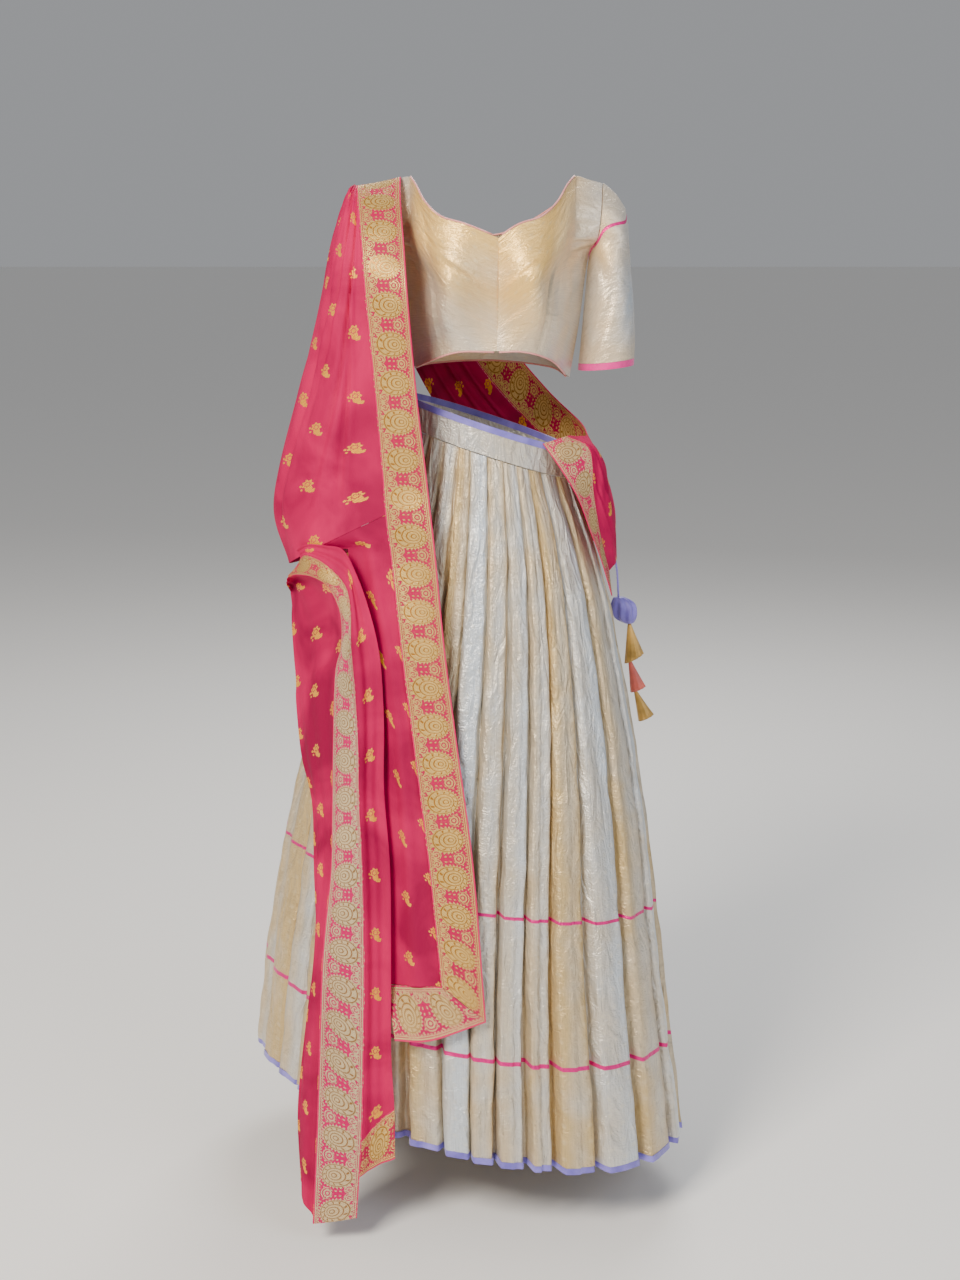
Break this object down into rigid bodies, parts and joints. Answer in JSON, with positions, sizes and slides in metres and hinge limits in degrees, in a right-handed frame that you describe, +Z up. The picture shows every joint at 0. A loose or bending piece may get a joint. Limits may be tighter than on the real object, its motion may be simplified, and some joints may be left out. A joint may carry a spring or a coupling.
{
  "type": "half sari",
  "caption": "Half sari worn hollow: short silk blouse, box pleated silk skirt, pink stole draped over the shoulder and arm, and a side tie with cloth cones",
  "frame": {"origin": "centre of the waistband's top edge, on the wearer's waist, where the garment is held up", "axes": "wearer faces -Y, wearer's left is +X, +Z up"},
  "size_m": [0.6723, 0.572, 1.4823],
  "materials": {
    "tissue_silk": "gold and silver tissue silk with a satin sheen",
    "pink_satin": "pink satin piping",
    "lavender_satin": "lavender satin edge",
    "pink_georgette": "semi-sheer pink georgette",
    "zari_border": "gold zari embroidery on pink",
    "gold_silk": "gold silk",
    "salmon_silk": "salmon silk",
    "tie_cord": "twisted lavender cord"
  },
  "bodies": {
    "root": {"blouse_front_right": "tissue_silk", "blouse_front_left": "tissue_silk", "blouse_back": "tissue_silk", "sleeve_right": "tissue_silk", "sleeve_left": "tissue_silk", "waistband": "tissue_silk", "skirt_front_panel": "tissue_silk", "skirt_back_panel": "tissue_silk", "hem_piping_front_right": "pink_satin", "hem_piping_front_left": "pink_satin", "hem_piping_back": "pink_satin", "neck_piping_right": "pink_satin", "neck_piping_left": "pink_satin", "neck_piping_back": "pink_satin", "sleeve_band_right": "pink_satin", "sleeve_band_left": "pink_satin", "waistband_edge": "lavender_satin", "skirt_hem_edge": "lavender_satin", "tie_puff": "lavender_satin", "stole_arm_drape": "pink_georgette", "stole_front_tail": "pink_georgette", "stole_outer_fall": "pink_georgette", "stole_roll": "pink_georgette", "stole_back_fall": "pink_georgette", "stole_back_stretch": "pink_georgette", "stole_hip_cloth": "pink_georgette", "stole_front_border": "zari_border", "stole_end_border": "zari_border", "stole_wrist_border": "zari_border", "stole_roll_end": "zari_border", "stole_back_border": "zari_border", "stole_hip_border": "zari_border", "latkan_upper": "gold_silk", "latkan_lower": "gold_silk", "latkan_middle": "salmon_silk", "tie_cord": "tie_cord"}
  },
  "joints": []
}
